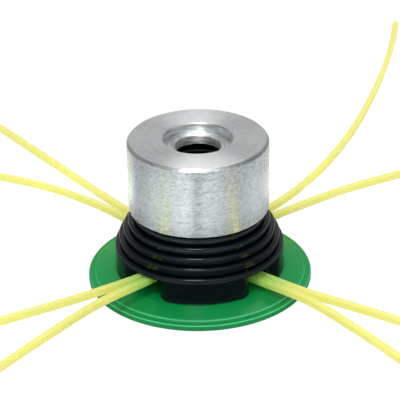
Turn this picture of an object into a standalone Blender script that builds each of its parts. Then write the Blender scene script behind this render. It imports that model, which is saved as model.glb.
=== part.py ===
"""Trimmer head with four clamped lines.

A turned aluminium hub cap sits on a black ribbed body. The body's four bosses each hold one length of
square nylon line, looped behind the boss, above a green base disc that carries the stack. Four
countersunk screws come up through the disc and the bosses into blind tapped holes in the cap.

Metres, +Z up. The underside of the base disc lies on z = 0 and the head's axis is the Z axis.
The bosses stand on the X and Y axes and the line slots run out between them, on the diagonals.
"""

import math

import bmesh
import bpy
import numpy as np
from mathutils import Matrix, Vector

MM = 0.001
GAP = 0.3 * MM  # clearance between pieces that touch on the real head
STEPS = 64  # facets of a full turn

# Hub cap, turned aluminium
PILOT_RADIUS = 12.7 * MM  # counterbore that centres the head on a 25.4 mm gearbox boss
PILOT_DEPTH = 3.0 * MM
PILOT_CHAMFER = 0.35 * MM
ARBOR_RADIUS = 8.4 * MM
WEB_THICKNESS = 3.4 * MM
WEB_CHAMFER = 0.3 * MM
CAP_WALL = 9.2 * MM
CAP_HEIGHT = 27.45 * MM
CAP_TOP_CHAMFER = 0.95 * MM
CAP_FOOT_CHAMFER = 0.4 * MM

# Ribbed body, moulded
NUT_BORE_RADIUS = 12.7 * MM
NUT_BORE_DEPTH = 3.9 * MM
NUT_LEDGE = 0.9 * MM
NECK_WALL = 3.8 * MM
TUBE_WALL = 1.7 * MM
RING_COUNT = 5
RING_INSET = 0.6 * MM  # first ring inside the cap's outer side
BELL_FLARE = 6.1 * MM  # last ring outside the first
BELL_CURVE = 1.17  # 1 is a straight cone, more bulges
FIRST_RING_DROP = 0.75 * MM  # top of the first ring below the body's shoulder
FIRST_PITCH = 2.9 * MM
PITCH_GROWTH = 0.22 * MM
LAST_RING_RISE = 2.08 * MM  # last ring's top above the slot ceiling
GROOVE_HEIGHT = 0.9 * MM
GROOVE_DEPTH = 1.6 * MM
RING_ROUNDING = 0.5 * MM
FOOT_BREAK = 0.25 * MM

# Bosses, line slots and the channel that turns each line round behind its boss
LINE_ACROSS = 3.0 * MM
SLOT_HEIGHT = 8.05 * MM
SLOT_WIDTH = 6.96 * MM  # two lines side by side
CHANNEL_SPARE = 0.83 * MM
CHANNEL_CUT = 0.43 * MM  # the turned channel bites this far into the middle of each boss's flat back
BOSS_OVERRUN = 0.2 * MM  # the end rounding meets the outer face at a slight edge
SLOT_REACH = 6.0 * MM  # cutter past the outer face

# Base disc, moulded
DISC_OVERHANG = 10.35 * MM
DISC_EDGE = 2.16 * MM  # height of the rim's upright edge
DISC_EDGE_BREAK = 0.25 * MM
RIM_LAND = 1.9 * MM  # flat between the upright edge and the step
STEP_WIDTH = 0.85 * MM
STEP_HEIGHT = 0.8 * MM
SEAT_MARGIN = 0.7 * MM
SEAT_HEIGHT = 4.6 * MM
DISC_BORE_CLEARANCE = 0.4 * MM

# Screws, M4 countersunk
SCREW_INSET = 5.2 * MM  # screw's axis in from the cap's outer side
SCREW_RADIUS = 2.0 * MM
SCREW_LENGTH = 39.4 * MM
SCREW_SUNK = 0.3 * MM
SCREW_HEAD_RADIUS = 3.8 * MM
SCREW_HEAD_LIP = 0.3 * MM
SCREW_POINT = 0.5 * MM
SOCKET_ACROSS = 2.5 * MM
SOCKET_DEPTH = 1.4 * MM
TAPPED_SPARE = 1.5 * MM

# Radii that follow, from the bore outward
BORE_RADIUS = NUT_BORE_RADIUS - NUT_LEDGE
TUBE_RADIUS = BORE_RADIUS + TUBE_WALL
NECK_RADIUS = NUT_BORE_RADIUS + NECK_WALL
CAVITY_RADIUS = NECK_RADIUS + GAP
CAP_RADIUS = CAVITY_RADIUS + CAP_WALL
FIRST_RING_RADIUS = CAP_RADIUS - RING_INSET
LAST_RING_RADIUS = FIRST_RING_RADIUS + BELL_FLARE
SEAT_RADIUS = LAST_RING_RADIUS + SEAT_MARGIN
DISC_RADIUS = LAST_RING_RADIUS + DISC_OVERHANG
DISC_BORE_RADIUS = BORE_RADIUS + DISC_BORE_CLEARANCE
SCREW_CIRCLE_RADIUS = CAP_RADIUS - SCREW_INSET
SCREW_HOLE_RADIUS = SCREW_RADIUS + GAP

# Heights that follow, from the ground up
BODY_FOOT = SEAT_HEIGHT + GAP
SLOT_CEILING = BODY_FOOT + SLOT_HEIGHT
PITCHES = [FIRST_PITCH + i * PITCH_GROWTH for i in range(RING_COUNT - 1)]
FIRST_RING_TOP = SLOT_CEILING + LAST_RING_RISE + sum(PITCHES)
SHOULDER = FIRST_RING_TOP + FIRST_RING_DROP
CAP_FOOT = SHOULDER + GAP
CAP_TOP = CAP_FOOT + CAP_HEIGHT
PILOT_FLOOR = CAP_TOP - PILOT_DEPTH
WEB_UNDERSIDE = PILOT_FLOOR - WEB_THICKNESS
NECK_TOP = WEB_UNDERSIDE - GAP

SIDES = {"front": -90, "right": 0, "back": 90, "left": 180}  # boss directions in degrees
QUARTER = math.pi / 2


def boss_end_radius():
    """Radius of the rounding that touches a boss's flat back, its outer face and the slot's side."""
    outside = LAST_RING_RADIUS + BOSS_OVERRUN
    half_slot = SLOT_WIDTH / 2
    slope = math.sqrt(2) - 1
    offset = math.sqrt(2) * BOSS_BACK - half_slot
    b = slope * offset + outside + half_slot
    c = offset**2 + half_slot**2 - outside**2
    return (-b + math.sqrt(b**2 - slope**2 * c)) / slope**2


# The boss on the +X side
BOSS_BACK = TUBE_RADIUS + LINE_ACROSS + CHANNEL_SPARE
CHANNEL_RADIUS = BOSS_BACK + CHANNEL_CUT
BOSS_END_RADIUS = boss_end_radius()
BOSS_END_CIRCLE = LAST_RING_RADIUS + BOSS_OVERRUN - BOSS_END_RADIUS
BOSS_END_X = BOSS_BACK + BOSS_END_RADIUS
BOSS_END_ANGLE = math.acos(BOSS_END_X / BOSS_END_CIRCLE)
BOSS_END_Y = BOSS_END_CIRCLE * math.sin(BOSS_END_ANGLE)

# Free ends of the lines, points in millimetres from the slot mouth outward
CLOCKWISE_END = {
    "left": [(-21.0, 18.6, 11.0), (-36.8, 38.6, 10.5), (-54.9, 56.6, 9.6), (-75.5, 71.5, 8.4),
             (-102.0, 86.5, 6.3), (-128.0, 104.5, 4.0), (-150.0, 128.0, 1.7)],
    "back": [(18.6, 21.0, 8.8), (35.2, 37.7, 8.6), (49.4, 56.5, 8.2), (61.5, 76.6, 7.7), (72.1, 97.7, 7.1),
             (81.4, 119.4, 6.4), (97.6, 163.7, 4.8), (111.2, 208.8, 3.0), (117.6, 235.0, 1.7)],
    "right": [(21.0, -18.6, 8.2), (35.0, -31.2, 8.0), (50.2, -41.9, 7.6), (65.6, -52.6, 7.0),
              (95.0, -75.0, 5.4), (125.0, -98.5, 3.6), (152.5, -124.5, 1.7)],
    "front": [(-18.6, -21.0, 11.0), (-38.2, -35.5, 10.5), (-55.9, -52.8, 9.7), (-73.1, -70.6, 8.5),
              (-98.5, -95.5, 6.4), (-124.5, -119.0, 4.1), (-152.0, -142.5, 1.7)],
}
ANTICLOCKWISE_END = {
    "left": [(-21.0, -18.6, 11.0), (-37.8, -27.8, 10.7), (-55.3, -35.5, 10.1), (-73.3, -42.5, 9.3),
             (-103.0, -56.5, 7.2), (-129.0, -77.5, 4.8), (-147.0, -104.5, 2.8), (-155.5, -133.0, 1.7)],
    "back": [(-18.6, 21.0, 11.0), (-31.2, 41.1, 10.4), (-43.0, 62.2, 9.2), (-54.6, 84.1, 7.5),
             (-66.1, 106.4, 5.6), (-77.0, 128.5, 3.3), (-83.0, 141.0, 1.7)],
    "right": [(21.0, 18.6, 8.8), (42.0, 33.5, 8.4), (63.5, 47.5, 7.7), (86.3, 59.4, 6.8),
              (115.0, 73.5, 5.2), (139.5, 93.5, 3.5), (154.0, 120.0, 2.1), (158.5, 136.5, 1.7)],
    "front": [(18.6, -21.0, 8.2), (35.5, -36.8, 7.9), (49.0, -55.4, 7.3), (61.4, -74.9, 6.6),
              (79.0, -102.5, 5.1), (100.0, -128.5, 3.4), (127.0, -153.5, 1.7)],
}


def clear_scene():
    for obj in list(bpy.data.objects):
        bpy.data.objects.remove(obj, do_unlink=True)


def principled(name, colour, roughness, metallic):
    material = bpy.data.materials.new(name)
    material.use_nodes = True
    shader = material.node_tree.nodes["Principled BSDF"]
    shader.inputs["Base Color"].default_value = (*colour, 1)
    shader.inputs["Roughness"].default_value = roughness
    shader.inputs["Metallic"].default_value = metallic
    return material


def add_object(name, mesh, material):
    obj = bpy.data.objects.new(name, mesh)
    bpy.context.scene.collection.objects.link(obj)
    if material:
        mesh.materials.append(material)
    return obj


def finish_smooth(obj, angle=32):
    obj.data.shade_smooth()
    obj.data.set_sharp_from_angle(angle=math.radians(angle))


def turned(name, profile, material, steps=STEPS):
    """Turn a (radius, height) profile that runs down its outer side. It closes on itself or on the axis."""
    mesh = bpy.data.meshes.new(name)
    count = len(profile)
    edges = [(i, i + 1) for i in range(count - 1)]
    if profile[0][0] > 0:
        edges.append((count - 1, 0))
    mesh.from_pydata([(r, 0, z) for r, z in profile], edges, [])
    obj = add_object(name, mesh, material)
    screw = obj.modifiers.new("turn", "SCREW")
    screw.axis = "Z"
    screw.angle = 2 * math.pi
    screw.steps = steps
    screw.render_steps = steps
    screw.use_merge_vertices = True
    screw.merge_threshold = 0.00001
    apply_modifiers(obj)
    finish_smooth(obj)
    return obj


def apply_modifiers(obj):
    depsgraph = bpy.context.evaluated_depsgraph_get()
    mesh = bpy.data.meshes.new_from_object(obj.evaluated_get(depsgraph))
    obj.modifiers.clear()
    obj.data = mesh


def prism(name, outline, low, high):
    """Upright prism over a plan outline given anticlockwise."""
    bm = bmesh.new()
    face = bm.faces.new([bm.verts.new((x, y, low)) for x, y in outline])
    side = bmesh.ops.extrude_face_region(bm, geom=[face])
    top = [v for v in side["geom"] if isinstance(v, bmesh.types.BMVert)]
    bmesh.ops.translate(bm, verts=top, vec=(0, 0, high - low))
    bmesh.ops.recalc_face_normals(bm, faces=bm.faces)
    mesh = bpy.data.meshes.new(name)
    bm.to_mesh(mesh)
    bm.free()
    return add_object(name, mesh, None)


def as_cutter(obj):
    obj.hide_render = True
    obj.display_type = "WIRE"
    return obj


def cut(obj, cutter):
    boolean = obj.modifiers.new(f"cut {cutter.name}", "BOOLEAN")
    boolean.operation = "DIFFERENCE"
    boolean.solver = "EXACT"
    boolean.object = as_cutter(cutter)


def around(angle):
    return Matrix.Rotation(angle, 4, "Z")


def on_screw_circle(obj, angle):
    obj.matrix_world = Matrix.Translation(around(angle) @ Vector((SCREW_CIRCLE_RADIUS, 0, 0)))


def arc(centre, radius, start, end, count):
    """Points from one angle to another, in radians, both ends included."""
    angles = np.linspace(start, end, count)
    return [(centre[0] + radius * math.cos(a), centre[1] + radius * math.sin(a)) for a in angles]


def screw_hole(name, low, high, angle):
    """Cutter for the clearance hole of one screw."""
    profile = [(0, high), (SCREW_HOLE_RADIUS, high), (SCREW_HOLE_RADIUS, low), (0, low)]
    obj = turned(name, profile, None, steps=16)
    on_screw_circle(obj, angle)
    return obj


def hub_cap(material):
    profile = [
        (CAP_RADIUS - CAP_TOP_CHAMFER, CAP_TOP),
        (CAP_RADIUS, CAP_TOP - CAP_TOP_CHAMFER),
        (CAP_RADIUS, CAP_FOOT + CAP_FOOT_CHAMFER),
        (CAP_RADIUS - CAP_FOOT_CHAMFER, CAP_FOOT),
        (CAVITY_RADIUS, CAP_FOOT),
        (CAVITY_RADIUS, WEB_UNDERSIDE),
        (ARBOR_RADIUS, WEB_UNDERSIDE),
        (ARBOR_RADIUS, PILOT_FLOOR - WEB_CHAMFER),
        (ARBOR_RADIUS + WEB_CHAMFER, PILOT_FLOOR),
        (PILOT_RADIUS, PILOT_FLOOR),
        (PILOT_RADIUS, CAP_TOP - PILOT_CHAMFER),
        (PILOT_RADIUS + PILOT_CHAMFER, CAP_TOP),
    ]
    cap = turned("hub_cap", profile, material)
    tapped_top = SCREW_SUNK + SCREW_LENGTH + TAPPED_SPARE
    for side, angle in SIDES.items():
        cut(cap, screw_hole(f"tapped_{side}", CAP_FOOT - 1 * MM, tapped_top, math.radians(angle)))
    return cap


def ring_profile():
    """Outer side of the bell from the shoulder down to the last ring's rounded edge."""
    points = [(FIRST_RING_RADIUS - GROOVE_DEPTH, SHOULDER)]
    top = FIRST_RING_TOP
    floor = FIRST_RING_RADIUS - GROOVE_DEPTH
    for i in range(RING_COUNT):
        left = (RING_COUNT - 1 - i) / (RING_COUNT - 1)
        radius = LAST_RING_RADIUS - BELL_FLARE * left**BELL_CURVE
        points.append((floor, top))
        for turn in (90, 45, 0):
            a = math.radians(turn)
            points.append((radius - RING_ROUNDING * (1 - math.cos(a)), top - RING_ROUNDING * (1 - math.sin(a))))
        if i < RING_COUNT - 1:
            next_top = top - PITCHES[i]
            floor = radius - GROOVE_DEPTH
            points.append((radius, next_top + GROOVE_HEIGHT))
            points.append((floor, next_top + GROOVE_HEIGHT))
            top = next_top
    return points


def slot_outline():
    """Plan of one line slot, from behind one boss to behind the next, anticlockwise."""
    inside = (TUBE_RADIUS + CHANNEL_RADIUS) / 2
    start = SLOT_WIDTH * 0.3
    outside = LAST_RING_RADIUS + SLOT_REACH
    end_centre = (BOSS_END_X, BOSS_END_Y)
    lower = [(BOSS_BACK, start)]
    lower += arc(end_centre, BOSS_END_RADIUS, math.pi, BOSS_END_ANGLE, 13)
    lower += [(outside * math.cos(BOSS_END_ANGLE), outside * math.sin(BOSS_END_ANGLE))]
    first = math.asin(start / inside)
    inner = arc((0, 0), inside, QUARTER - first, first, 9)
    upper = [(y, x) for x, y in reversed(lower)]
    return lower + upper + inner


def line_body(material):
    profile = ring_profile() + [
        (LAST_RING_RADIUS, BODY_FOOT + FOOT_BREAK),
        (LAST_RING_RADIUS - FOOT_BREAK, BODY_FOOT),
        (CHANNEL_RADIUS, BODY_FOOT),
        (CHANNEL_RADIUS, SLOT_CEILING),
        (TUBE_RADIUS, SLOT_CEILING),
        (TUBE_RADIUS, BODY_FOOT),
        (BORE_RADIUS, BODY_FOOT),
        (BORE_RADIUS, NECK_TOP - NUT_BORE_DEPTH),
        (NUT_BORE_RADIUS, NECK_TOP - NUT_BORE_DEPTH),
        (NUT_BORE_RADIUS, NECK_TOP),
        (NECK_RADIUS, NECK_TOP),
        (NECK_RADIUS, SHOULDER),
    ]
    body = turned("line_body", profile, material)
    for side, angle in SIDES.items():
        slot = prism(f"slot_past_{side}", slot_outline(), BODY_FOOT - 2 * MM, SLOT_CEILING)
        slot.matrix_world = around(math.radians(angle))
        cut(body, slot)
    for side, angle in SIDES.items():
        cut(body, screw_hole(f"body_hole_{side}", BODY_FOOT - 1 * MM, SHOULDER + 1 * MM, math.radians(angle)))
    return body


def countersink(name, angle):
    """Cutter for a screw's hole and countersink in the disc, a clearance away from the head."""
    mouth = SCREW_HEAD_RADIUS + SCREW_SUNK + SCREW_HEAD_LIP + GAP * math.sqrt(2)
    profile = [
        (0, SEAT_HEIGHT + 1 * MM),
        (SCREW_HOLE_RADIUS, SEAT_HEIGHT + 1 * MM),
        (SCREW_HOLE_RADIUS, mouth - SCREW_HOLE_RADIUS),
        (mouth, 0),
        (mouth, -1 * MM),
        (0, -1 * MM),
    ]
    obj = turned(name, profile, None, steps=20)
    on_screw_circle(obj, angle)
    return obj


def base_disc(material):
    land_inner = DISC_RADIUS - RIM_LAND
    step_inner = land_inner - STEP_WIDTH
    profile = [
        (SEAT_RADIUS, SEAT_HEIGHT),
        (step_inner, DISC_EDGE + STEP_HEIGHT),
        (step_inner + 0.45 * STEP_WIDTH, DISC_EDGE + 0.72 * STEP_HEIGHT),
        (step_inner + 0.8 * STEP_WIDTH, DISC_EDGE + 0.28 * STEP_HEIGHT),
        (land_inner, DISC_EDGE),
        (DISC_RADIUS - DISC_EDGE_BREAK, DISC_EDGE),
        (DISC_RADIUS, DISC_EDGE - DISC_EDGE_BREAK),
        (DISC_RADIUS, DISC_EDGE_BREAK),
        (DISC_RADIUS - DISC_EDGE_BREAK, 0),
        (DISC_BORE_RADIUS + DISC_EDGE_BREAK, 0),
        (DISC_BORE_RADIUS, DISC_EDGE_BREAK),
        (DISC_BORE_RADIUS, SEAT_HEIGHT),
    ]
    disc = turned("base_disc", profile, material)
    for side, angle in SIDES.items():
        cut(disc, countersink(f"countersink_{side}", math.radians(angle)))
    return disc


def screw(side, material):
    head = SCREW_SUNK
    cone_top = head + SCREW_HEAD_LIP + SCREW_HEAD_RADIUS - SCREW_RADIUS
    tip = head + SCREW_LENGTH
    profile = [
        (0, tip),
        (SCREW_RADIUS - SCREW_POINT, tip),
        (SCREW_RADIUS, tip - SCREW_POINT),
        (SCREW_RADIUS, cone_top),
        (SCREW_HEAD_RADIUS, head + SCREW_HEAD_LIP),
        (SCREW_HEAD_RADIUS, head),
        (0, head),
    ]
    obj = turned(f"screw_{side}", profile, material, steps=16)
    angle = math.radians(SIDES[side])
    socket_radius = SOCKET_ACROSS / math.sqrt(3)
    hexagon = arc((0, 0), socket_radius, 0, math.radians(300), 6)
    socket = prism(f"socket_{side}", hexagon, head - 1 * MM, head + SOCKET_DEPTH)
    cut(obj, socket)
    on_screw_circle(obj, angle)
    on_screw_circle(socket, angle)
    return obj


def held_loop(side, low_z, high_z):
    """The line's middle, round the back of its boss, a clearance away from the boss."""
    reach = BOSS_END_RADIUS + LINE_ACROSS / 2 + GAP
    corner = [(BOSS_END_X + reach * math.cos(a), BOSS_END_Y + reach * math.sin(a))
              for a in np.radians([180, 165, 150, 135])]
    half = [(BOSS_END_X - reach, BOSS_END_Y / 2)] + corner
    plan = [(x, -y) for x, y in reversed(half)] + half
    turn = around(math.radians(SIDES[side]))
    heights = np.linspace(low_z, high_z, len(plan))
    return [turn @ Vector((x, y, z)) for (x, y), z in zip(plan, heights)]


def line_points(side):
    """All of one line's own points, from its clockwise end to its anticlockwise end, in metres."""
    first = [Vector(p) * MM for p in CLOCKWISE_END[side]]
    last = [Vector(p) * MM for p in ANTICLOCKWISE_END[side]]
    return first[::-1] + held_loop(side, first[0].z, last[0].z) + last


def smooth_curve(points, fine=24):
    """Dense points on a centripetal Catmull-Rom curve through the given points."""
    pts = [np.array(p) for p in points]
    pts = [2 * pts[0] - pts[1]] + pts + [2 * pts[-1] - pts[-2]]
    dense = []
    for p0, p1, p2, p3 in zip(pts, pts[1:], pts[2:], pts[3:]):
        t0 = 0.0
        t1 = t0 + np.linalg.norm(p1 - p0) ** 0.5
        t2 = t1 + np.linalg.norm(p2 - p1) ** 0.5
        t3 = t2 + np.linalg.norm(p3 - p2) ** 0.5
        for t in np.linspace(t1, t2, fine, endpoint=False):
            a1 = (t1 - t) / (t1 - t0) * p0 + (t - t0) / (t1 - t0) * p1
            a2 = (t2 - t) / (t2 - t1) * p1 + (t - t1) / (t2 - t1) * p2
            a3 = (t3 - t) / (t3 - t2) * p2 + (t - t2) / (t3 - t2) * p3
            b1 = (t2 - t) / (t2 - t0) * a1 + (t - t0) / (t2 - t0) * a2
            b2 = (t3 - t) / (t3 - t1) * a2 + (t - t1) / (t3 - t1) * a3
            dense.append((t2 - t) / (t2 - t1) * b1 + (t - t1) / (t2 - t1) * b2)
    dense.append(pts[-2])
    return dense


def spaced(dense):
    """Thin a dense curve: close points inside the head, one every two and a half diameters outside."""
    kept = [dense[0]]
    travelled = 0.0
    for previous, point in zip(dense, dense[1:]):
        travelled += np.linalg.norm(point - previous)
        inside = math.hypot(point[0], point[1]) < LAST_RING_RADIUS + LINE_ACROSS
        if travelled >= (0.8 if inside else 2.5) * LINE_ACROSS:
            kept.append(point)
            travelled = 0.0
    if np.linalg.norm(kept[-1] - dense[-1]) < 0.5 * LINE_ACROSS:
        kept.pop()
    return kept + [dense[-1]]


def trimmer_line(side, material):
    curve = bpy.data.curves.new(f"line_{side}", "CURVE")
    curve.dimensions = "3D"
    curve.bevel_depth = LINE_ACROSS / 2
    curve.bevel_resolution = 2
    curve.use_fill_caps = True
    points = spaced(smooth_curve(line_points(side)))
    spline = curve.splines.new("POLY")
    spline.points.add(len(points) - 1)
    for slot, point in zip(spline.points, points):
        slot.co = (*point, 1)
    obj = bpy.data.objects.new(f"line_{side}", curve)
    bpy.context.scene.collection.objects.link(obj)
    curve.materials.append(material)
    return obj


def main():
    clear_scene()
    aluminium = principled("turned_aluminium", (0.56, 0.59, 0.60), 0.28, 1.0)
    black = principled("black_nylon", (0.006, 0.007, 0.009), 0.3, 0.0)
    green = principled("green_plastic", (0.01, 0.26, 0.07), 0.25, 0.0)
    yellow = principled("yellow_line", (0.84, 0.80, 0.16), 0.3, 0.0)
    steel = principled("zinc_steel", (0.55, 0.56, 0.57), 0.35, 1.0)
    hub_cap(aluminium)
    line_body(black)
    base_disc(green)
    for side in SIDES:
        screw(side, steel)
        trimmer_line(side, yellow)


main()
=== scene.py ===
"""Looks of the trimmer head: turned aluminium cap, ribbed black body, green disc and square yellow lines."""

import math

import bmesh
import bpy
import numpy as np
from mathutils import Matrix, Vector


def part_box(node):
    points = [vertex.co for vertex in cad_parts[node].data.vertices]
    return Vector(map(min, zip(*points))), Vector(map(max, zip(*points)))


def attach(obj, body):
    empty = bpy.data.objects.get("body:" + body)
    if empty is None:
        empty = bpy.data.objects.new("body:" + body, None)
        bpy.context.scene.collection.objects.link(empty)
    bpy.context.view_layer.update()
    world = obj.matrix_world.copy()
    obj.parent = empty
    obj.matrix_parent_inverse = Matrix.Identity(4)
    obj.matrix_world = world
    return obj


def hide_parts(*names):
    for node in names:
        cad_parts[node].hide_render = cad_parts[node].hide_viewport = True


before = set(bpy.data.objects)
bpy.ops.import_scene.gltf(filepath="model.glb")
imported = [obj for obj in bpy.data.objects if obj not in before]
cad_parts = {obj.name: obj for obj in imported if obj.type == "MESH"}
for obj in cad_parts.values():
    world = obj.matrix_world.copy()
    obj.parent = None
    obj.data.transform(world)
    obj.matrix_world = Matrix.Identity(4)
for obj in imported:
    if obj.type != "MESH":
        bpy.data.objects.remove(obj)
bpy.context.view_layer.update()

# Camera
# A long lens looks down on the head from the front, a little from its left. The head stands low in the
# picture, and the camera leans by less than a degree.
camera_data = bpy.data.cameras.new("camera")
camera_data.lens = 154.6
camera_data.sensor_width = 36.0
camera_data.clip_start = 0.05
camera_data.clip_end = 20.0
camera = bpy.data.objects.new("camera", camera_data)
bpy.context.scene.collection.objects.link(camera)
camera_elevation = math.radians(27.763)
camera_turn = math.radians(-4.15)
camera_lean = math.radians(-0.931)
camera_distance = 0.650
camera_rise = 0.02744
camera.matrix_world = (
    Matrix.Rotation(camera_turn, 4, "Z")
    @ Matrix.Rotation(math.pi / 2 - camera_elevation, 4, "X")
    @ Matrix.Rotation(camera_lean, 4, "Z")
    @ Matrix.Translation((0, camera_rise, camera_distance))
)
bpy.context.scene.camera = camera

# Cutting lines
# Four lengths of drawn nylon, square with rounded corners and a slow twist, translucent yellow. Each is
# looped behind one boss of the body, and both ends come out through the slots beside it and lie loose.


class Graph:
    """A node tree written as Python: add() makes any node, and what comes out of it works in sums."""

    def __init__(self, tree):
        self.tree = tree

    def add(self, kind, settings=None, inputs=None, output=0):
        node = self.tree.nodes.new(kind)
        for name, value in (settings or {}).items():
            if name == "stops":
                self.set_stops(node.color_ramp, value)
            else:
                setattr(node, name, value)
        pairs = inputs.items() if isinstance(inputs, dict) else enumerate(inputs or [])
        for name, value in pairs:
            if isinstance(value, Wire):
                self.tree.links.new(value.socket, node.inputs[name])
            elif value is not None:
                node.inputs[name].default_value = value
        return Wire(self, node, node.outputs[output]) if node.outputs else node

    def set_stops(self, ramp, stops):
        while len(ramp.elements) < len(stops):
            ramp.elements.new(0.5)
        for element, (position, colour) in zip(ramp.elements, stops):
            element.position = position
            element.color = (*colour, 1)


class Wire:
    """One output of a node. Each operator adds the Math node that it stands for."""

    def __init__(self, graph, node, socket):
        self.graph = graph
        self.node = node
        self.socket = socket

    def out(self, name):
        return Wire(self.graph, self.node, self.node.outputs[name])

    def math(self, operation, *others):
        return self.graph.add("ShaderNodeMath", {"operation": operation}, [self, *others])

    def __add__(self, other):
        return self.math("ADD", other)

    def __radd__(self, other):
        return self.math("ADD", other)

    def __sub__(self, other):
        return self.math("SUBTRACT", other)

    def __rsub__(self, other):
        return self.graph.add("ShaderNodeMath", {"operation": "SUBTRACT"}, [other, self])

    def __mul__(self, other):
        return self.math("MULTIPLY", other)

    def __rmul__(self, other):
        return self.math("MULTIPLY", other)

    def __truediv__(self, other):
        return self.math("DIVIDE", other)

    def __rtruediv__(self, other):
        return self.graph.add("ShaderNodeMath", {"operation": "DIVIDE"}, [other, self])

    def __pow__(self, other):
        return self.math("POWER", other)

    def __lt__(self, other):
        return self.math("LESS_THAN", other)

    def __gt__(self, other):
        return self.math("GREATER_THAN", other)


def shape_tree(name, sizes):
    """A Geometry Nodes tree with a mesh in, named sizes and a material, as (tree, graph, {name: Wire})."""
    tree = bpy.data.node_groups.new(name, "GeometryNodeTree")
    tree.interface.new_socket("Geometry", in_out="OUTPUT", socket_type="NodeSocketGeometry")
    tree.interface.new_socket("Geometry", in_out="INPUT", socket_type="NodeSocketGeometry")
    tree.interface.new_socket("Material", in_out="INPUT", socket_type="NodeSocketMaterial")
    for size, kind in sizes.items():
        tree.interface.new_socket(size, in_out="INPUT", socket_type=f"NodeSocket{kind}")
    graph = Graph(tree)
    given = graph.add("NodeGroupInput")
    return tree, graph, {name: given.out(name) for name in ("Geometry", "Material", *sizes)}


def end_tree(graph, shape, material):
    """Makes a tree's copies real, gives them the material and hands the result out."""
    real = graph.add("GeometryNodeRealizeInstances", None, [shape])
    dressed = graph.add("GeometryNodeSetMaterial", None, {"Geometry": real, "Material": material})
    graph.add("NodeGroupOutput", None, [dressed])


def grow(name, tree, start, values):
    """Runs a tree on a starting mesh and keeps the plain mesh that comes out as a new piece."""
    piece = bpy.data.objects.new(name, start)
    bpy.context.scene.collection.objects.link(piece)
    modifier = piece.modifiers.new("shape", "NODES")
    modifier.node_group = tree
    for item in tree.interface.items_tree:
        if item.in_out == "INPUT" and item.name in values:
            modifier[item.identifier] = values[item.name]
    keep_result(piece)
    return piece


def keep_result(piece):
    """Puts a piece's modifiers into its mesh and takes them off."""
    bpy.context.view_layer.update()
    depsgraph = bpy.context.evaluated_depsgraph_get()
    mesh = bpy.data.meshes.new_from_object(piece.evaluated_get(depsgraph))
    piece.modifiers.clear()
    piece.data = mesh
    mesh.name = piece.name


def chain(name, points):
    """A mesh of points joined one after the next, as the start of a tree."""
    mesh = bpy.data.meshes.new(name)
    mesh.from_pydata([tuple(p) for p in points], [(i, i + 1) for i in range(len(points) - 1)], [])
    return mesh


def new_material(name):
    """An empty node material, as (material, graph, Object coordinates)."""
    material = bpy.data.materials.new(name)
    material.use_nodes = True
    material.node_tree.nodes.clear()
    graph = Graph(material.node_tree)
    return material, graph, graph.add("ShaderNodeTexCoord", output="Object")


def noise(graph, place, scale, detail):
    """Soft noise from 0 to 1."""
    return graph.add("ShaderNodeTexNoise", None, {"Vector": place, "Scale": scale, "Detail": detail})


def ramp(graph, stops, position):
    """A colour by position from 0 to 1."""
    return graph.add("ShaderNodeValToRGB", {"stops": stops}, [position])


def colour_over(graph, factor, below, above, blend="MIX"):
    """One colour over another by a factor."""
    settings = {"data_type": "RGBA", "blend_type": blend}
    return graph.add("ShaderNodeMix", settings, {"Factor": factor, 6: below, 7: above}, output=2)


def bumps(graph, height, strength, depth=0.00004):
    """A normal that rises and falls with a height from 0 to 1."""
    return graph.add("ShaderNodeBump", None, {"Strength": strength, "Distance": depth, "Height": height})


def spot_and_radius(graph, place):
    """A place taken apart into X, Y and Z, and its distance from the head's axis."""
    spot = graph.add("ShaderNodeSeparateXYZ", None, [place])
    return spot, (spot * spot + spot.out("Y") * spot.out("Y")).math("SQRT")


MM = 0.001
CLEARANCE = 0.3 * MM  # between pieces that touch on the real head
LINE_WIDTH = 2.68 * MM
LINE_CORNER = 0.4 * MM
CAD_LINE_WIDTH = 3.0 * MM
BOSS_DIRECTIONS = {"front": -90, "right": 0, "back": 90, "left": 180}
BOSS_END_RADIUS = 6.2 * MM
BOSS_END_CENTRE = (23.526 * MM, 9.837 * MM)
STRIPES_AROUND = 8  # drawing marks along the line, round its section
HIDDEN_JOIN = 24 * MM  # radius at which the held loop meets the free ends, inside the slot

# Middles of the free ends in millimetres, from the slot mouth outward
CLOCKWISE_END = {
    "left": [(-21.0, 18.6, 11.0), (-36.8, 38.6, 10.5), (-54.9, 56.6, 9.6), (-75.5, 71.5, 8.4),
             (-102.0, 86.5, 6.3), (-128.0, 104.5, 4.0), (-150.0, 128.0, 1.7)],
    "back": [(18.6, 21.0, 8.8), (35.2, 37.7, 8.6), (49.4, 56.5, 8.2), (61.5, 76.6, 7.7), (72.1, 97.7, 7.1),
             (81.4, 119.4, 6.4), (97.6, 163.7, 4.8), (111.2, 208.8, 3.0), (117.6, 235.0, 1.7)],
    "right": [(21.0, -18.6, 8.2), (35.0, -31.2, 8.0), (50.2, -41.9, 7.6), (65.6, -52.6, 7.0),
              (95.0, -75.0, 5.4), (125.0, -98.5, 3.6), (152.5, -124.5, 1.7)],
    "front": [(-18.6, -21.0, 11.0), (-38.2, -35.5, 10.5), (-55.9, -52.8, 9.7), (-73.1, -70.6, 8.5),
              (-98.5, -95.5, 6.4), (-124.5, -119.0, 4.1), (-152.0, -142.5, 1.7)],
}
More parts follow.
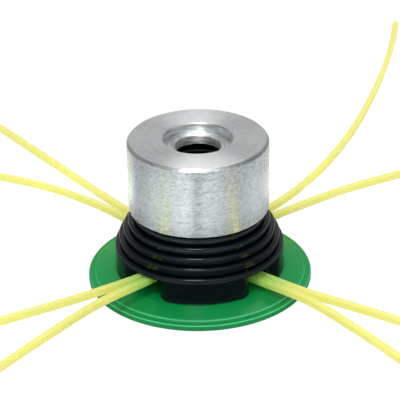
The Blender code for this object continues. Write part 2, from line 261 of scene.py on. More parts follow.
ANTICLOCKWISE_END = {
    "left": [(-21.0, -18.6, 11.0), (-37.8, -27.8, 10.7), (-55.3, -35.5, 10.1), (-73.3, -42.5, 9.3),
             (-103.0, -56.5, 7.2), (-129.0, -77.5, 4.8), (-147.0, -104.5, 2.8), (-155.5, -133.0, 1.7)],
    "back": [(-18.6, 21.0, 11.0), (-31.2, 41.1, 10.4), (-43.0, 62.2, 9.2), (-54.6, 84.1, 7.5),
             (-66.1, 106.4, 5.6), (-77.0, 128.5, 3.3), (-83.0, 141.0, 1.7)],
    "right": [(21.0, 18.6, 8.8), (42.0, 33.5, 8.4), (63.5, 47.5, 7.7), (86.3, 59.4, 6.8),
              (115.0, 73.5, 5.2), (139.5, 93.5, 3.5), (154.0, 120.0, 2.1), (158.5, 136.5, 1.7)],
    "front": [(18.6, -21.0, 8.2), (35.5, -36.8, 7.9), (49.0, -55.4, 7.3), (61.4, -74.9, 6.6),
              (79.0, -102.5, 5.1), (100.0, -128.5, 3.4), (127.0, -153.5, 1.7)],
}


def held_loop(side, low_z, high_z):
    """Points of a line's middle, round the back of its boss."""
    reach = BOSS_END_RADIUS + CAD_LINE_WIDTH / 2 + CLEARANCE
    x, y = BOSS_END_CENTRE
    corner = [(x + reach * math.cos(a), y + reach * math.sin(a)) for a in np.radians([180, 165, 150, 135])]
    half = [(x - reach, y / 2)] + corner
    plan = [(px, -py) for px, py in reversed(half)] + half
    turn = Matrix.Rotation(math.radians(BOSS_DIRECTIONS[side]), 3, "Z")
    heights = np.linspace(low_z, high_z, len(plan))
    return [turn @ Vector((px, py, pz)) for (px, py), pz in zip(plan, heights)]


def smooth_curve(points, fine=8):
    """Dense points on a centripetal Catmull-Rom curve through the given points."""
    pts = [np.array(p) for p in points]
    pts = [2 * pts[0] - pts[1]] + pts + [2 * pts[-1] - pts[-2]]
    dense = []
    for p0, p1, p2, p3 in zip(pts, pts[1:], pts[2:], pts[3:]):
        t0 = 0.0
        t1 = t0 + np.linalg.norm(p1 - p0) ** 0.5
        t2 = t1 + np.linalg.norm(p2 - p1) ** 0.5
        t3 = t2 + np.linalg.norm(p3 - p2) ** 0.5
        for t in np.linspace(t1, t2, fine, endpoint=False):
            a1 = (t1 - t) / (t1 - t0) * p0 + (t - t0) / (t1 - t0) * p1
            a2 = (t2 - t) / (t2 - t1) * p1 + (t - t1) / (t2 - t1) * p2
            a3 = (t3 - t) / (t3 - t2) * p2 + (t - t2) / (t3 - t2) * p3
            b1 = (t2 - t) / (t2 - t0) * a1 + (t - t0) / (t2 - t0) * a2
            b2 = (t3 - t) / (t3 - t1) * a2 + (t - t1) / (t3 - t1) * a3
            dense.append((t2 - t) / (t2 - t1) * b1 + (t - t1) / (t2 - t1) * b2)
    dense.append(pts[-2])
    return dense


def line_parts(side):
    """One line's dense points, split where it goes into the body: first end, held loop, last end."""
    first = [Vector(p) * MM for p in CLOCKWISE_END[side]]
    last = [Vector(p) * MM for p in ANTICLOCKWISE_END[side]]
    dense = smooth_curve(first[::-1] + held_loop(side, first[0].z, last[0].z) + last)
    inside = [i for i, p in enumerate(dense) if math.hypot(p[0], p[1]) < HIDDEN_JOIN]
    return dense[: inside[0] + 1][::-1], dense[inside[0] : inside[-1] + 1], dense[inside[-1] :]


def yellow_nylon():
    """Yellow that lets light through, with painted green light from the disc near the head at the front, and
    the die's faint stripes.
    """
    material, graph, place = new_material("yellow_nylon")
    cloud = noise(graph, place, 90.0, 3.0)
    grain = noise(graph, place, 900.0, 2.0)
    spot, radius = spot_and_radius(graph, place)
    # Painted light: the lime near the head at the front stands in for green light thrown up into the nylon by
    # the disc.
    disc_green_light_to_yellow = [
        (0.25, (0.30, 0.94, 0.21)),
        (0.33, (0.50, 0.97, 0.28)),
        (0.41, (0.74, 0.95, 0.33)),
        (0.47, (0.95, 0.93, 0.37)),
        (0.6, (0.97, 0.94, 0.42)),
    ]
    away = (radius + spot.out("Y").math("MAXIMUM", 0.0) * 2) / 0.1
    colour = ramp(graph, disc_green_light_to_yellow, away + cloud * 0.04)
    stripe = graph.add("ShaderNodeAttribute", {"attribute_name": "stripe"}, output="Fac")
    stripe_strength = (stripe * 0.5 + 0.5) * (0.3 + cloud * 0.8)
    colour = colour_over(graph, stripe_strength, colour, (0.80, 0.84, 0.62, 1), "MULTIPLY")
    shader = graph.add(
        "ShaderNodeBsdfPrincipled",
        None,
        {
            "Base Color": colour,
            "Roughness": 0.22 + cloud * 0.12,
            "IOR": 1.5,
            "Subsurface Weight": 0.4,
            "Subsurface Radius": (1.0, 0.95, 0.4),
            "Subsurface Scale": 0.003,
            "Normal": bumps(graph, grain, 0.05),
        },
    )
    glowing = graph.add("ShaderNodeBsdfTranslucent", None, {"Color": (0.98, 0.97, 0.48, 1)})
    mixed = graph.add("ShaderNodeMixShader", None, [0.5, shader, glowing])
    graph.add("ShaderNodeOutputMaterial", None, [mixed])
    return material


def square_line_tree():
    """Sweeps a square with rounded corners and hollow sides along the starting mesh's chain of points."""
    tree, graph, given = shape_tree(
        "square_line", {"Width": "Float", "Corner": "Float", "Hollow": "Float", "Twist": "Float"}
    )
    path = graph.add("GeometryNodeMeshToCurve", None, [given["Geometry"]])
    upright = graph.add("GeometryNodeSetCurveNormal", {"mode": "Z_UP"}, [path])
    run = graph.add("GeometryNodeSplineParameter", output="Length")
    twisted = graph.add("GeometryNodeSetCurveTilt", None, {"Curve": upright, "Tilt": given["Twist"] * run})
    square = graph.add(
        "GeometryNodeCurvePrimitiveQuadrilateral",
        {"mode": "RECTANGLE"},
        {"Width": given["Width"], "Height": given["Width"]},
    )
    rounded = graph.add(
        "GeometryNodeFilletCurve",
        {"mode": "POLY"},
        {"Curve": square, "Count": 4, "Radius": given["Corner"]},
    )
    even = graph.add("GeometryNodeResampleCurve", None, {"Curve": rounded, "Count": 48})
    spot = graph.add("ShaderNodeSeparateXYZ", None, [graph.add("GeometryNodeInputPosition")])
    from_middle = spot.math("ABSOLUTE").math("MINIMUM", spot.out("Y").math("ABSOLUTE")) / given["Width"] * 2
    shrink = 1 - given["Hollow"] * (1 - from_middle * from_middle)
    inward = graph.add("ShaderNodeCombineXYZ", None, [spot * shrink, spot.out("Y") * shrink, 0.0])
    hollow = graph.add("GeometryNodeSetPosition", None, {"Geometry": even, "Position": inward})
    around = graph.add("GeometryNodeSplineParameter")
    stripe = (around * (2 * math.pi * STRIPES_AROUND)).math("COSINE")
    section = graph.add(
        "GeometryNodeStoreNamedAttribute",
        {"data_type": "FLOAT", "domain": "POINT"},
        {"Geometry": hollow, "Name": "stripe", "Value": stripe},
    )
    sweep = {"Curve": twisted, "Profile Curve": section, "Fill Caps": True}
    tube = graph.add("GeometryNodeCurveToMesh", None, sweep)
    end_tree(graph, graph.add("GeometryNodeSetShadeSmooth", None, {"Geometry": tube}), given["Material"])
    return tree


line_tree = square_line_tree()
line_material = yellow_nylon()
line_sizes = {
    "Material": line_material,
    "Width": LINE_WIDTH,
    "Corner": LINE_CORNER,
    "Hollow": 0.13,
    "Twist": 1.5,
}
for side in BOSS_DIRECTIONS:
    for part, points in zip(("first_end", "held", "last_end"), line_parts(side)):
        name = f"line_{side}_{part}"
        piece = grow(name, line_tree, chain(name, points), line_sizes)
        piece.data.set_sharp_from_angle(angle=math.radians(40))
        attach(piece, "root")
        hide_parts(f"line_{side}")
        if part != "held":
            length = float(sum(np.linalg.norm(b - a) for a, b in zip(points, points[1:])))

# Hub cap
# An upturned cup turned from aluminium bar. Its top has the counterbore that centres the head on the
# gearbox, and a web with the arbor hole. The lathe leaves fine rings on every face.

CAP_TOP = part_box("hub_cap")[1][2]
CAP_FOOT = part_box("hub_cap")[0][2]
CAP_RADIUS = 26.0 * MM
PILOT_RADIUS = 12.7 * MM
PILOT_FLOOR = CAP_TOP - 3.0 * MM
ARBOR_RADIUS = 8.4 * MM
WEB_UNDERSIDE = PILOT_FLOOR - 3.4 * MM
CAVITY_RADIUS = 16.8 * MM
SCREW_CIRCLE = 20.8 * MM
SCREW_HOLE_RADIUS = 2.3 * MM
TAPPED_TOP = 41.2 * MM
DRILL_POINT = 1.2 * MM
CUTTER_PAST = 1 * MM  # how far a cutter reaches past the face that it opens
CAP_CHAMFER = 0.95 * MM
FOOT_CHAMFER = 0.4 * MM
PILOT_CHAMFER = 0.28 * MM
WEB_CHAMFER = 0.3 * MM
BROKEN_EDGE = 0.12 * MM
CREASE = math.radians(32)  # shading stays sharp over edges that turn more than this


def rounded_profile(corners, steps=4):
    """Points of a closed profile from (radius, height, rounding) corners, with arcs for the roundings."""
    points = []
    count = len(corners)
    for i, (r, z, rounding) in enumerate(corners):
        here = np.array((r, z))
        before = np.array(corners[i - 1][:2]) - here
        after = np.array(corners[(i + 1) % count][:2]) - here
        if rounding == 0:
            points.append(tuple(here))
            continue
        before /= np.linalg.norm(before)
        after /= np.linalg.norm(after)
        half = math.acos(np.clip(before @ after, -1, 1)) / 2
        middle = here + (before + after) / np.linalg.norm(before + after) * rounding / math.sin(half)
        start = here + before * rounding / math.tan(half) - middle
        end = here + after * rounding / math.tan(half) - middle
        sweep = math.acos(np.clip(start @ end / rounding**2, -1, 1))
        for t in np.linspace(0, 1, steps + 1):
            arm = (start * math.sin((1 - t) * sweep) + end * math.sin(t * sweep)) / math.sin(sweep)
            points.append(tuple(middle + arm))
    return points


def grid_row_and_angle(graph, steps):
    """For each point of a turned grid: which profile point it stands for, and its angle about Z."""
    index = graph.add("GeometryNodeInputIndex")
    columns = steps + 1
    row = (index / columns).math("FLOOR")
    return row, (index - row * columns) / steps * (2 * math.pi)


def profile_point(graph, given, number):
    """Radius and height of one of the starting mesh's (radius, 0, height) points."""
    place = graph.add("GeometryNodeInputPosition")
    sources = {"Geometry": given["Geometry"], "Value": place, "Index": number}
    sample = graph.add("GeometryNodeSampleIndex", {"data_type": "FLOAT_VECTOR"}, sources)
    spot = graph.add("ShaderNodeSeparateXYZ", None, [sample])
    return spot, spot.out("Z")


def end_turned_tree(graph, given, points, radius, height, angle):
    """Bends a grid into a turned solid by its points' radius, height and angle, and closes its seams."""
    columns = given["Steps"] + 1
    grid_sizes = {"Size X": 1.0, "Size Y": 1.0, "Vertices X": points + 1, "Vertices Y": columns}
    grid = graph.add("GeometryNodeMeshGrid", None, grid_sizes)
    x, y = radius * angle.math("COSINE"), radius * angle.math("SINE")
    spot = graph.add("ShaderNodeCombineXYZ", None, [x, y, height])
    turned = graph.add("GeometryNodeSetPosition", None, {"Geometry": grid, "Position": spot})
    closed = graph.add("GeometryNodeMergeByDistance", None, {"Geometry": turned, "Distance": 0.000001})
    end_tree(graph, graph.add("GeometryNodeSetShadeSmooth", None, {"Geometry": closed}), given["Material"])


def turned_tree():
    """Turns the starting mesh's chain of (radius, 0, height) points about Z into a closed solid."""
    tree, graph, given = shape_tree("turned", {"Points": "Int", "Steps": "Int"})
    row, angle = grid_row_and_angle(graph, given["Steps"])
    radius, height = profile_point(graph, given, row.math("MODULO", given["Points"]))
    end_turned_tree(graph, given, given["Points"], radius, height, angle)
    return tree


turning = turned_tree()


def turn(name, corners, material, steps=256):
    """A turned piece from its profile corners, with its faces pointing out."""
    profile = rounded_profile(corners)
    start = chain(name, [(r, 0, z) for r, z in profile])
    piece = grow(name, turning, start, {"Material": material, "Points": len(profile), "Steps": steps})
    face_out(piece)
    return piece


def face_out(piece):
    """Points a closed piece's faces outward and marks its creases."""
    bm = bmesh.new()
    bm.from_mesh(piece.data)
    bmesh.ops.recalc_face_normals(bm, faces=bm.faces)
    bm.to_mesh(piece.data)
    bm.free()
    piece.data.set_sharp_from_angle(angle=CREASE)


def copies_tree():
    """Repeats the starting mesh about Z, evenly, and turns each copy to face out."""
    tree, graph, given = shape_tree("about_the_axis", {"Count": "Int"})
    spots = graph.add("GeometryNodePoints", None, {"Count": given["Count"]})
    index = graph.add("GeometryNodeInputIndex")
    facing = graph.add("ShaderNodeCombineXYZ", None, [0.0, 0.0, index / given["Count"] * (2 * math.pi)])
    placing = {"Points": spots, "Instance": given["Geometry"], "Rotation": facing}
    end_tree(graph, graph.add("GeometryNodeInstanceOnPoints", None, placing), given["Material"])
    return tree


def combine(piece, other, operation):
    """Fuses another piece's solid into this one, or cuts it away, and removes the other."""
    change = piece.modifiers.new("change", "BOOLEAN")
    change.operation = operation
    change.solver = "EXACT"
    change.object = other
    keep_result(piece)
    bpy.data.objects.remove(other)
    piece.data.shade_smooth()
    piece.data.set_sharp_from_angle(angle=CREASE)


around_axis = copies_tree()


def cut_four_holes(piece, profile):
    """Cuts a turned hole of (radius, height) points on the screw circle, four times round."""
    material = piece.data.materials[0]
    cutter = turn("hole_cutter", [(r, z, 0) for r, z in profile], material, steps=64)
    cutter.data.transform(Matrix.Translation((SCREW_CIRCLE, 0, 0)))
    four = grow("four_cutters", around_axis, cutter.data, {"Material": material, "Count": 4})
    bpy.data.objects.remove(cutter)
    combine(piece, four, "DIFFERENCE")


def turned_aluminium():
    """Bright metal with the lathe's rings, short dashes on the side and coarser cuts in the bores."""
    material, graph, place = new_material("turned_aluminium")
    spot, radius = spot_and_radius(graph, place)
    across, along = spot / radius, spot.out("Y") / radius
    tool_path = radius + spot.out("Z") * 0.6  # grows over every face that the tool crosses

    def lathe_marks(wander, scale, detail):
        """Noise drawn out round the axis. A smaller wander makes longer marks."""
        vector = graph.add("ShaderNodeCombineXYZ", None, [across * wander, along * wander, tool_path])
        return noise(graph, vector, scale, detail)

    on_side = radius > CAP_RADIUS - 0.3 * MM
    in_pilot = radius < PILOT_RADIUS + 0.2 * MM
    on_arbor_wall = radius < ARBOR_RADIUS + 1.1 * MM
    rings = lathe_marks(0.0004, 3000.0, 2.0)
    dashes = (lathe_marks(0.0075, 2200.0, 3.0) - 0.5) * (on_side * 1.2 + 0.12) + 0.5
    patches = lathe_marks(0.03, 400.0, 3.0)
    cuts = in_pilot * (lathe_marks(0.0015, 1500.0, 2.0) - 0.5)
    dull_to_bright = [(0.1, (0.40, 0.43, 0.43)), (0.37, (0.61, 0.655, 0.655)), (0.63, (0.97, 1.0, 1.0))]
    tone = ramp(graph, dull_to_bright, rings * 0.25 + dashes * 0.6 + patches * 0.15 + cuts * 1.3)
    tone = colour_over(graph, on_side, tone, (0.955, 0.985, 1.0, 1), "MULTIPLY")
    shader = graph.add(
        "ShaderNodeBsdfPrincipled",
        None,
        {
            "Base Color": tone,
            "Metallic": 1.0,
            "Roughness": 0.18 + dashes * 0.2 + on_arbor_wall * 0.2,
            "Anisotropic": 0.85,
            "Anisotropic Rotation": 0.25,
            "Normal": bumps(graph, rings * 0.6 + dashes * 0.4, 0.3),
        },
    )
    graph.add("ShaderNodeOutputMaterial", None, [shader])
    return material


cap_corners = [
    (CAP_RADIUS - CAP_CHAMFER, CAP_TOP, BROKEN_EDGE),
    (CAP_RADIUS, CAP_TOP - CAP_CHAMFER, BROKEN_EDGE * 2),
    (CAP_RADIUS, CAP_FOOT + FOOT_CHAMFER, BROKEN_EDGE),
    (CAP_RADIUS - FOOT_CHAMFER, CAP_FOOT, BROKEN_EDGE),
    (CAVITY_RADIUS, CAP_FOOT, BROKEN_EDGE),
    (CAVITY_RADIUS, WEB_UNDERSIDE, 0),
    (ARBOR_RADIUS, WEB_UNDERSIDE, BROKEN_EDGE),
    (ARBOR_RADIUS, PILOT_FLOOR - WEB_CHAMFER, BROKEN_EDGE),
    (ARBOR_RADIUS + WEB_CHAMFER, PILOT_FLOOR, BROKEN_EDGE),
    (PILOT_RADIUS, PILOT_FLOOR, BROKEN_EDGE),
    (PILOT_RADIUS, CAP_TOP - PILOT_CHAMFER, BROKEN_EDGE),
    (PILOT_RADIUS + PILOT_CHAMFER, CAP_TOP, BROKEN_EDGE),
]
hub_cap = turn("hub_cap_turned", cap_corners, turned_aluminium())
tapped_hole = [
    (0, CAP_FOOT - CUTTER_PAST),
    (SCREW_HOLE_RADIUS, CAP_FOOT - CUTTER_PAST),
    (SCREW_HOLE_RADIUS, TAPPED_TOP - DRILL_POINT),
    (0, TAPPED_TOP),
]
cut_four_holes(hub_cap, tapped_hole)
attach(hub_cap, "root")
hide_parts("hub_cap")

# Line body
# Black moulded nylon. Five rings stand out from its bell, each wider than the one above, and four bosses
# below hold the lines apart. Its neck fills the cap, and a tube round the bore reaches down to the disc.

BODY_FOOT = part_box("line_body")[0][2]
NECK_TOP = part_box("line_body")[1][2]
SLOT_CEILING = BODY_FOOT + 8.05 * MM
RINGS = 5
FIRST_RING_RADIUS = 24.6 * MM
LAST_RING_RADIUS = 31.5 * MM
SHOULDER = CAP_FOOT - CLEARANCE
FIRST_RING_TOP = SHOULDER - 0.75 * MM
LIP_HEIGHT = 0.9 * MM  # of the edge under the last ring
TUBE_RADIUS = 13.5 * MM
BORE_RADIUS = 11.8 * MM
NUT_BORE_RADIUS = 12.7 * MM
NUT_SEAT = NECK_TOP - 4.0 * MM
SEAT_CONE_DEPTH = 0.9 * MM
SEAT_CONE_WIDTH = 0.5 * MM
NECK_RADIUS = 16.5 * MM
GROOVE_DEPTH = 1.3 * MM
BOSS_SUNK = 0.3 * MM  # how far a boss reaches up into the bell
BOSS_ROUNDING = 0.12 * MM


def bell_tree():
    """Turns a profile of rings that follow one rule, closed by the starting mesh's chain of points."""
    tree, graph, given = shape_tree(
        "ringed_bell",
        {
            "Rings": "Int",
            "First Radius": "Float",
            "Last Radius": "Float",
            "Curve": "Float",
            "Top": "Float",
            "First Pitch": "Float",
            "Pitch Growth": "Float",
            "Groove Height": "Float",
            "Groove Depth": "Float",
            "Rounding": "Float",
            "Other Points": "Int",
            "Steps": "Int",
        },
    )
    arc_steps = 6
    per_ring = arc_steps + 4  # root, arc, foot of the side, floor of the groove below
    row, angle = grid_row_and_angle(graph, given["Steps"])
    ring_points = given["Rings"] * per_ring - 2  # no groove below the last ring
    total = ring_points + given["Other Points"]
    point = row.math("MODULO", total)
    ring = (point / per_ring).math("FLOOR")
    step = point - ring * per_ring
    last = given["Rings"] - 1

    def ring_radius(number):
        left = ((last - number) / last).math("MAXIMUM", 0.0)
        return given["Last Radius"] - (given["Last Radius"] - given["First Radius"]) * left ** given["Curve"]

    def ring_top(number):
        steps_down = number * given["First Pitch"] + number * (number - 1) * 0.5 * given["Pitch Growth"]
        return given["Top"] - steps_down

    radius = ring_radius(ring)
    above = ring_radius((ring - 1).math("MAXIMUM", 0.0))
    turn_angle = ((step - 1) / arc_steps).math("MAXIMUM", 0.0).math("MINIMUM", 1.0) * (math.pi / 2)
    arc_radius = radius - given["Rounding"] * (1 - turn_angle.math("SINE"))
    arc_height = ring_top(ring) - given["Rounding"] * (1 - turn_angle.math("COSINE"))
    foot_height = ring_top(ring + 1) + given["Groove Height"]
    at_root = step < 0.5
    at_side = (step > arc_steps + 1.5) * (step < arc_steps + 2.5)
    at_floor = step > arc_steps + 2.5
    on_arc = 1 - at_root - at_side - at_floor
    root_radius = above - given["Groove Depth"]
    floor_radius = radius - given["Groove Depth"]
    ring_r = at_root * root_radius + on_arc * arc_radius + at_side * radius + at_floor * floor_radius
    ring_z = (at_root + on_arc) * arc_height + (at_side + at_floor) * foot_height
    rest_r, rest_z = profile_point(graph, given, (point - ring_points).math("MAXIMUM", 0.0))
    in_rings = point < ring_points - 0.5
    r = in_rings * ring_r + (1 - in_rings) * rest_r
    z = in_rings * ring_z + (1 - in_rings) * rest_z
    end_turned_tree(graph, given, total, r, z, angle)
    return tree


def black_nylon():
    """Glossy blue-black with a few specks of dust."""
    material, graph, place = new_material("black_nylon")
    grain = noise(graph, place, 1500.0, 2.0)
    cloud = noise(graph, place, 120.0, 3.0)
    dust_cells = graph.add("ShaderNodeTexVoronoi", None, {"Vector": place, "Scale": 330.0, "Randomness": 1.0})
    chance = graph.add("ShaderNodeSeparateColor", None, [dust_cells.out("Color")])
    dust = (dust_cells.out("Distance") < 0.075) * (chance > 0.94)
    shader = graph.add(
        "ShaderNodeBsdfPrincipled",
        None,
        {
            "Base Color": colour_over(graph, dust * 0.55, (0.0003, 0.0032, 0.0046, 1), (0.35, 0.36, 0.37, 1)),
            "Roughness": 0.08 + cloud * 0.08,
            "IOR": 1.5,
            "Specular IOR Level": 0.35,
            "Specular Tint": (0.76, 0.93, 1.0, 1),
            "Normal": bumps(graph, grain, 0.12),
        },
    )
    graph.add("ShaderNodeOutputMaterial", None, [shader])
    return material


black = black_nylon()
rest_of_bell = [
    (LAST_RING_RADIUS - 0.3 * MM, SLOT_CEILING + LIP_HEIGHT + 0.28 * MM),
    (LAST_RING_RADIUS - 0.1 * MM, SLOT_CEILING + LIP_HEIGHT + 0.2 * MM),
    (LAST_RING_RADIUS, SLOT_CEILING + LIP_HEIGHT),
    (LAST_RING_RADIUS, SLOT_CEILING),
    (TUBE_RADIUS, SLOT_CEILING),
    (TUBE_RADIUS, BODY_FOOT),
    (BORE_RADIUS, BODY_FOOT),
    (BORE_RADIUS, NUT_SEAT - SEAT_CONE_DEPTH),
    (BORE_RADIUS + SEAT_CONE_WIDTH, NUT_SEAT),
    (NUT_BORE_RADIUS, NUT_SEAT),
    (NUT_BORE_RADIUS, NECK_TOP),
    (NECK_RADIUS, NECK_TOP),
    (NECK_RADIUS, SHOULDER),
    (FIRST_RING_RADIUS - GROOVE_DEPTH, SHOULDER),
]
bell_sizes = {
    "Material": black,
    "Rings": RINGS,
    "First Radius": FIRST_RING_RADIUS,
    "Last Radius": LAST_RING_RADIUS,
    "Curve": 1.1,
    "Top": FIRST_RING_TOP,
    "First Pitch": 2.9 * MM,
    "Pitch Growth": 0.22 * MM,
    "Groove Height": 0.9 * MM,
    "Groove Depth": GROOVE_DEPTH,
    "Rounding": 0.85 * MM,
    "Other Points": len(rest_of_bell),
    "Steps": 256,
}
bell_start = chain("bell", [(r, 0, z) for r, z in rest_of_bell])
line_body = grow("line_body_bell", bell_tree(), bell_start, bell_sizes)
face_out(line_body)
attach(line_body, "root")
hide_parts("line_body")


def boss_outline():
    """Plan of the boss on the +X side: flat back, round ends, outer face flush with the last ring."""
    x, y = BOSS_END_CENTRE
    reach = math.hypot(x, y)
    outer = LAST_RING_RADIUS - 0.01 * MM  # the boss and the ring share no face
    at_centre = math.acos((reach**2 + BOSS_END_RADIUS**2 - outer**2) / (2 * reach * BOSS_END_RADIUS))
    last_angle = math.atan2(y, x) + math.pi - at_centre
    ends = [(x + BOSS_END_RADIUS * math.cos(a), y + BOSS_END_RADIUS * math.sin(a))
            for a in np.linspace(math.pi, last_angle, 24)]
    meeting = math.atan2(ends[-1][1], ends[-1][0])
    outside = [(outer * math.cos(a), outer * math.sin(a)) for a in np.linspace(meeting, -meeting, 33)[1:-1]]
    return ends + outside + [(px, -py) for px, py in reversed(ends)]


def boss_mesh(foot, top, softness):
    """The boss as an upright solid whose foot edge is rounded."""
    plan = np.array(boss_outline())
    along = np.roll(plan, -1, axis=0) - np.roll(plan, 1, axis=0)
    inward = np.stack([along[:, 1], -along[:, 0]], axis=1)
    inward /= np.linalg.norm(inward, axis=1)[:, None]
    if ((plan + inward - plan.mean(axis=0)) ** 2).sum() > ((plan - plan.mean(axis=0)) ** 2).sum():
        inward = -inward
    bm = bmesh.new()
    loops = []
    for t in np.linspace(0, math.pi / 2, 5):
        inset = softness * (1 - math.sin(t))
        height = foot + softness * (1 - math.cos(t))
        loops.append([bm.verts.new((x, y, height)) for x, y in plan + inward * inset])
    loops.append([bm.verts.new((x, y, top)) for x, y in plan])
    count = len(plan)
    for lower, upper in zip(loops, loops[1:]):
        for i in range(count):
            j = (i + 1) % count
            bm.faces.new((lower[i], lower[j], upper[j], upper[i]))
    bm.faces.new(loops[0])
    bm.faces.new(loops[-1])
    bmesh.ops.recalc_face_normals(bm, faces=bm.faces)
    mesh = bpy.data.meshes.new("boss")
    bm.to_mesh(mesh)
    bm.free()
    return mesh


boss = boss_mesh(BODY_FOOT, SLOT_CEILING + BOSS_SUNK, BOSS_ROUNDING)
combine(line_body, grow("bosses", around_axis, boss, {"Material": black, "Count": 4}), "UNION")
clear_hole = [
    (0, BODY_FOOT - CUTTER_PAST),
    (SCREW_HOLE_RADIUS, BODY_FOOT - CUTTER_PAST),
    (SCREW_HOLE_RADIUS, SHOULDER + CUTTER_PAST),
    (0, SHOULDER + CUTTER_PAST),
]
cut_four_holes(line_body, clear_hole)

# Base disc
# Green moulded plastic. A flat seat carries the body, a shallow cone falls from it to a raised step, and
# the rim is a thin flat land with an upright edge. Four countersinks underneath take the screw heads.

DISC_RADIUS = 41.85 * MM
DISC_EDGE = 2.16 * MM
RIM_LAND = 1.9 * MM
STEP_WIDTH = 0.85 * MM
STEP_HEIGHT = 0.8 * MM
SEAT_RADIUS = 32.2 * MM
SEAT_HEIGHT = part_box("base_disc")[1][2]
DISC_BORE_RADIUS = 12.2 * MM
COUNTERSINK_RADIUS = 4.82 * MM


def grey_ramp(graph, stops, position):
    """A ramp from 0 to 1 through grey levels, as the stops' colours."""
    return ramp(graph, [(place, (level, level, level)) for place, level in stops], position)


def green_plastic():
    """Even green, with a painted highlight in paler green along the edges of the step and of the rim,
    strongest at the front.
    """
    material, graph, place = new_material("green_plastic")
    grain = noise(graph, place, 900.0, 3.0)
    cloud = noise(graph, place, 60.0, 3.0)
    spot, radius = spot_and_radius(graph, place)
    outward = (radius - 38.5 * MM) / (4.0 * MM)  # 0 inside the step, 1 just past the rim
    # Painted highlight: paler green on the step's and the rim's edges, strongest on the front half.
    edges = [(0.10, 0), (0.22, 1), (0.30, 0), (0.68, 0), (0.76, 1), (0.81, 1), (0.832, 0.12)]
    highlight_band = grey_ramp(graph, edges, outward)
    highlight_toward_front = (0.15 - spot.out("Y") / DISC_RADIUS).math("MAXIMUM", 0.12).math("MINIMUM", 1.0)
    painted_edge_highlight = highlight_band * highlight_toward_front * (0.6 + cloud * 0.8)
    green = ramp(graph, [(0.3, (0.003, 0.255, 0.058)), (0.7, (0.004, 0.28, 0.066))], cloud)
    shader = graph.add(
        "ShaderNodeBsdfPrincipled",
        None,
        {
            "Base Color": colour_over(graph, painted_edge_highlight, green, (0.10, 0.62, 0.28, 1)),
            "Roughness": 0.22 + cloud * 0.1,
            "IOR": 1.46,
            "Specular IOR Level": 0.24,
            "Normal": bumps(graph, grain, 0.1),
        },
    )
    graph.add("ShaderNodeOutputMaterial", None, [shader])
    return material


step_radius = DISC_RADIUS - RIM_LAND
disc_corners = [
    (SEAT_RADIUS, SEAT_HEIGHT, 0.6 * MM),
    (step_radius - STEP_WIDTH, DISC_EDGE + STEP_HEIGHT, 0.5 * MM),
    (step_radius - 0.35 * MM, DISC_EDGE + 0.5 * MM, 0.2 * MM),
    (step_radius, DISC_EDGE, 0.12 * MM),
    (DISC_RADIUS, DISC_EDGE, 0.5 * MM),
    (DISC_RADIUS, 0, 0.3 * MM),
    (DISC_BORE_RADIUS, 0, 0.2 * MM),
    (DISC_BORE_RADIUS, SEAT_HEIGHT, 0.2 * MM),
]
base_disc = turn("base_disc_moulded", disc_corners, green_plastic())
countersink = [
    (0, -CUTTER_PAST),
    (COUNTERSINK_RADIUS, -CUTTER_PAST),
    (COUNTERSINK_RADIUS, 0),
    (SCREW_HOLE_RADIUS, COUNTERSINK_RADIUS - SCREW_HOLE_RADIUS),
    (SCREW_HOLE_RADIUS, SEAT_HEIGHT + CUTTER_PAST),
    (0, SEAT_HEIGHT + CUTTER_PAST),
]
cut_four_holes(base_disc, countersink)
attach(base_disc, "root")
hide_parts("base_disc")

# Screws
# Four M4 countersunk screws with a hexagon socket, of zinc-plated steel. They come up through the disc
# and the bosses into the cap, and their heads lie just inside the disc's underside.

HEAD_FACE = 0.3 * MM
HEAD_LIP = 0.3 * MM
HEAD_RADIUS = 3.8 * MM
SHANK_RADIUS = 2.0 * MM
SCREW_TIP = 39.7 * MM
SCREW_POINT = 0.5 * MM
SOCKET_ACROSS = 2.5 * MM
SOCKET_DEPTH = 1.4 * MM


def zinc_steel():
    """Dull plated steel, a little cloudy."""
    material, graph, place = new_material("zinc_steel")
    grain = noise(graph, place, 1600.0, 2.0)
    cloud = noise(graph, place, 260.0, 3.0)
    shader = graph.add(
        "ShaderNodeBsdfPrincipled",
        None,
        {
            "Base Color": ramp(graph, [(0.3, (0.46, 0.48, 0.50)), (0.7, (0.66, 0.68, 0.69))], cloud),
            "Metallic": 1.0,
            "Roughness": 0.26 + cloud * 0.2,
            "Normal": bumps(graph, grain, 0.2, 0.00003),
        },
    )
    graph.add("ShaderNodeOutputMaterial", None, [shader])
    return material


def hexagon_cutter(material):
    """A six-sided bar that reaches into the screw's head by the socket's depth."""
    corner_radius = SOCKET_ACROSS / math.sqrt(3)
    bm = bmesh.new()
    bmesh.ops.create_cone(bm, cap_ends=True, segments=6, radius1=corner_radius, radius2=corner_radius,
                          depth=2 * SOCKET_DEPTH)
    mesh = bpy.data.meshes.new("hexagon_cutter")
    bm.to_mesh(mesh)
    bm.free()
    mesh.transform(Matrix.Translation((0, 0, HEAD_FACE)))
    mesh.materials.append(material)
    cutter = bpy.data.objects.new("hexagon_cutter", mesh)
    bpy.context.scene.collection.objects.link(cutter)
    return cutter


